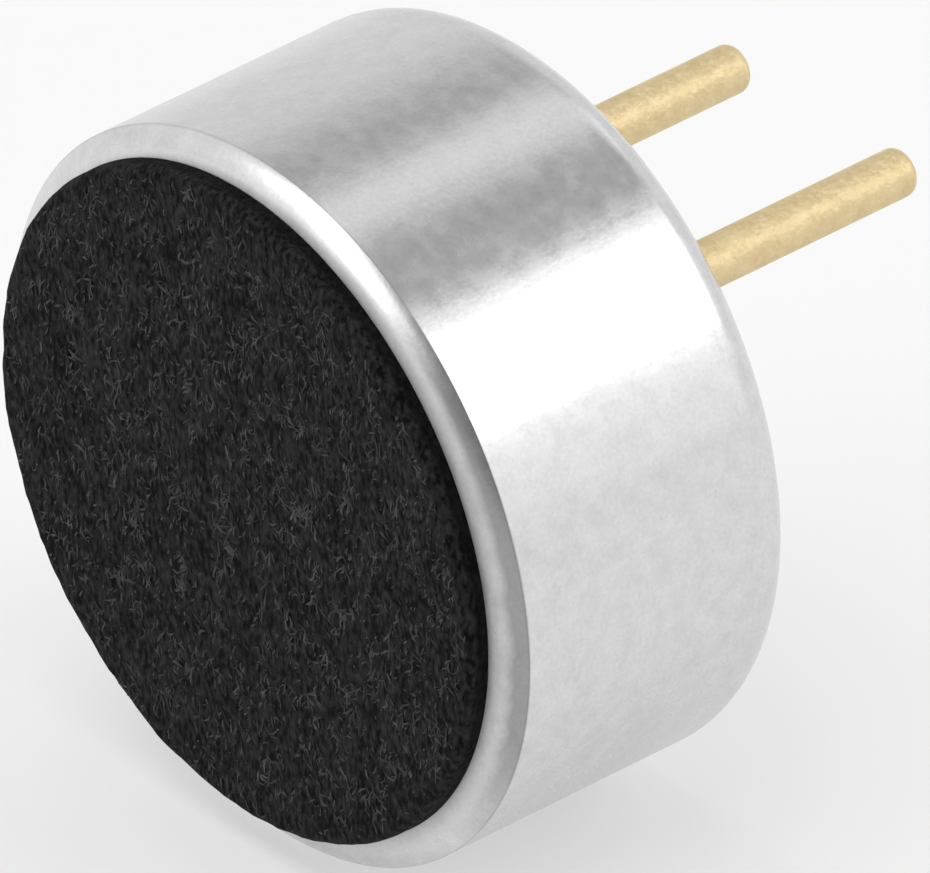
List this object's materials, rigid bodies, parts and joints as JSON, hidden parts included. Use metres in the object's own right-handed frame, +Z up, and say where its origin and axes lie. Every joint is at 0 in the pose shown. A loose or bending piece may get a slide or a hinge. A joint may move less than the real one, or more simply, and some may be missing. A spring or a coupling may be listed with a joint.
{
  "type": "electret microphone capsule",
  "caption": "Round aluminium microphone capsule with a black felt disc over its sound inlet and gold-plated pins at the rear for a circuit board.",
  "frame": {"origin": "centre of the rear seat, the flat of the crimped rim that meets the user's circuit board", "axes": "-Y is the sound inlet with the felt, +Y is the rear where the pins leave, +Z is up with the pair of pins level above the axis"},
  "size_m": [0.0098, 0.0094, 0.0096],
  "materials": {
    "can_aluminium": "satin, as drawn",
    "felt": "matte non-woven felt",
    "pin_gold": "pale gold plate, grainy",
    "ring_brass": "stamped brass",
    "diaphragm_film": "metallised polyester film",
    "spacer_film": "clear amber film",
    "electret": "clear fluoropolymer film",
    "chamber_plastic": "moulded, natural",
    "board_laminate": "glass-epoxy laminate with green solder mask",
    "copper": "tinned copper",
    "solder": "bright tin solder",
    "transistor_epoxy": "moulded epoxy",
    "tinned_lead": "matte tin plate",
    "chip_ceramic": "fired ceramic, bare"
  },
  "bodies": {
    "root": {"can": "can_aluminium", "front_felt": "felt", "diaphragm_ring": "ring_brass", "diaphragm": "diaphragm_film", "spacer": "spacer_film", "electret_film": "electret", "backplate": "ring_brass", "chamber_ring": "chamber_plastic", "gate_ring": "ring_brass", "circuit_board": "board_laminate", "front_copper": "copper", "rear_copper": "copper", "transistor_body": "transistor_epoxy", "transistor_leads": "tinned_lead", "upper_capacitor": "chip_ceramic", "upper_capacitor_ends": "tinned_lead", "lower_capacitor": "chip_ceramic", "lower_capacitor_ends": "tinned_lead", "chip_solder": "solder", "signal_pin": "pin_gold", "ground_pin": "pin_gold", "signal_pin_solder": "solder", "ground_pin_solder": "solder"}
  },
  "joints": []
}
